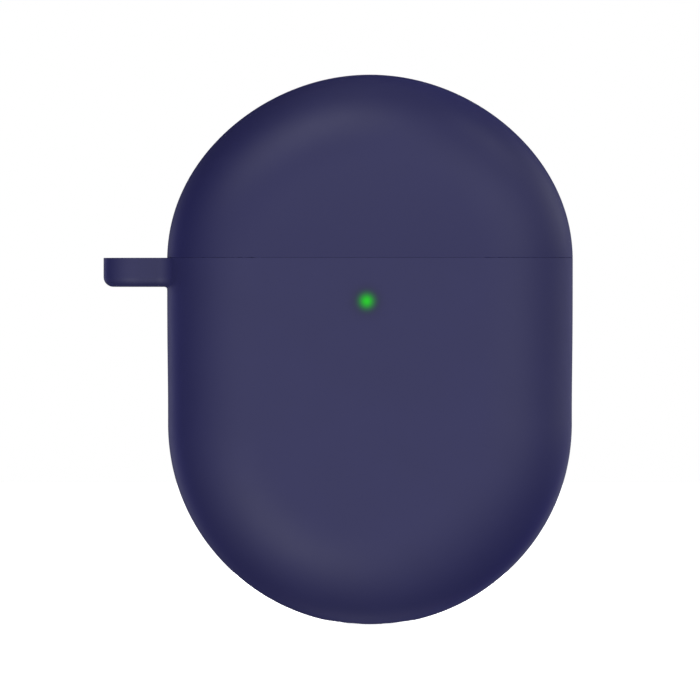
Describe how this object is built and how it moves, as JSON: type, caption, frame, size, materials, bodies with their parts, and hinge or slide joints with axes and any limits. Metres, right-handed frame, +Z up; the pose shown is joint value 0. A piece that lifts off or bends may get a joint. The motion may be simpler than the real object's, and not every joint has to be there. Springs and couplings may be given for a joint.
{
  "type": "wireless earbuds case",
  "caption": "Upright pebble-shaped charging case for earbuds in a silicone cover, with a hinged lid, a glowing status light, a keyring lug and a charging socket below.",
  "frame": {"origin": "middle of the charging cut-out at the lowest point of the cover's outline, on the centre line of the body", "axes": "+Z up to the top of the lid, +Y to the back with the hinge, +X to the right seen from the front, so the keyring lug points to -X"},
  "size_m": [0.0574, 0.028, 0.0672],
  "materials": {
    "silicone": "matte dark blue moulded silicone",
    "case_plastic": "fine matte off-white",
    "tray_plastic": "satin pale grey",
    "hinge_steel": "satin",
    "magnet": "nickel plated",
    "gold": "gold plated",
    "circuit_board": "green solder mask",
    "ribbon": "amber film",
    "black_plastic": "moulded black",
    "socket_steel": "drawn steel",
    "battery_foil": "pouch foil",
    "foam": "soft black foam",
    "green_light": "lit",
    "clear_plastic": "clear"
  },
  "bodies": {
    "case": {"cover_body": "silicone", "case_body_shell": "case_plastic", "earbud_tray": "tray_plastic", "hinge_body_leaf": "hinge_steel", "hinge_pin": "hinge_steel", "hinge_body_screws": "hinge_steel", "closure_magnet_body": "magnet", "earbud_magnets": "magnet", "contact_barrels": "gold", "contact_boards": "circuit_board", "contact_flexes": "ribbon", "main_board": "circuit_board", "board_chips": "black_plastic", "board_screws": "hinge_steel", "usb_shell": "socket_steel", "usb_tongue": "black_plastic", "battery": "battery_foil", "battery_pad": "foam", "battery_flex": "ribbon", "led_board": "circuit_board", "status_led": "green_light", "hall_sensor": "black_plastic", "light_pipe": "clear_plastic", "led_flex": "ribbon", "tact_switch": "black_plastic"},
    "lid": {"cover_lid": "silicone", "case_lid_shell": "case_plastic", "lid_liner": "tray_plastic", "hinge_lid_leaf": "hinge_steel", "hinge_lid_screws": "hinge_steel", "closure_magnet_lid": "magnet"},
    "button": {"pairing_button": "case_plastic", "switch_plunger": "tray_plastic"},
    "pin_left_front": {"contact_pin_left_front": "gold"},
    "pin_left_back": {"contact_pin_left_back": "gold"},
    "pin_right_front": {"contact_pin_right_front": "gold"},
    "pin_right_back": {"contact_pin_right_back": "gold"}
  },
  "joints": [
    {"name": "lid_hinge", "type": "hinge", "parent": "case", "child": "lid", "pos_m": [0, 0.01275, 0.0449], "axis": [-1, 0, 0], "range_deg": [0, 100]},
    {"name": "button_press", "type": "slide", "parent": "case", "child": "button", "axis": [0, -1, 0], "range_m": [0, 0.0003], "stiffness_N_per_m": 3000, "springref_m": -0.0002},
    {"name": "pin_left_front_press", "type": "slide", "parent": "case", "child": "pin_left_front", "axis": [0, 0, -1], "range_m": [0, 0.0008], "stiffness_N_per_m": 300, "springref_m": -0.0005},
    {"name": "pin_left_back_press", "type": "slide", "parent": "case", "child": "pin_left_back", "axis": [0, 0, -1], "range_m": [0, 0.0008], "stiffness_N_per_m": 300, "springref_m": -0.0005},
    {"name": "pin_right_front_press", "type": "slide", "parent": "case", "child": "pin_right_front", "axis": [0, 0, -1], "range_m": [0, 0.0008], "stiffness_N_per_m": 300, "springref_m": -0.0005},
    {"name": "pin_right_back_press", "type": "slide", "parent": "case", "child": "pin_right_back", "axis": [0, 0, -1], "range_m": [0, 0.0008], "stiffness_N_per_m": 300, "springref_m": -0.0005}
  ]
}
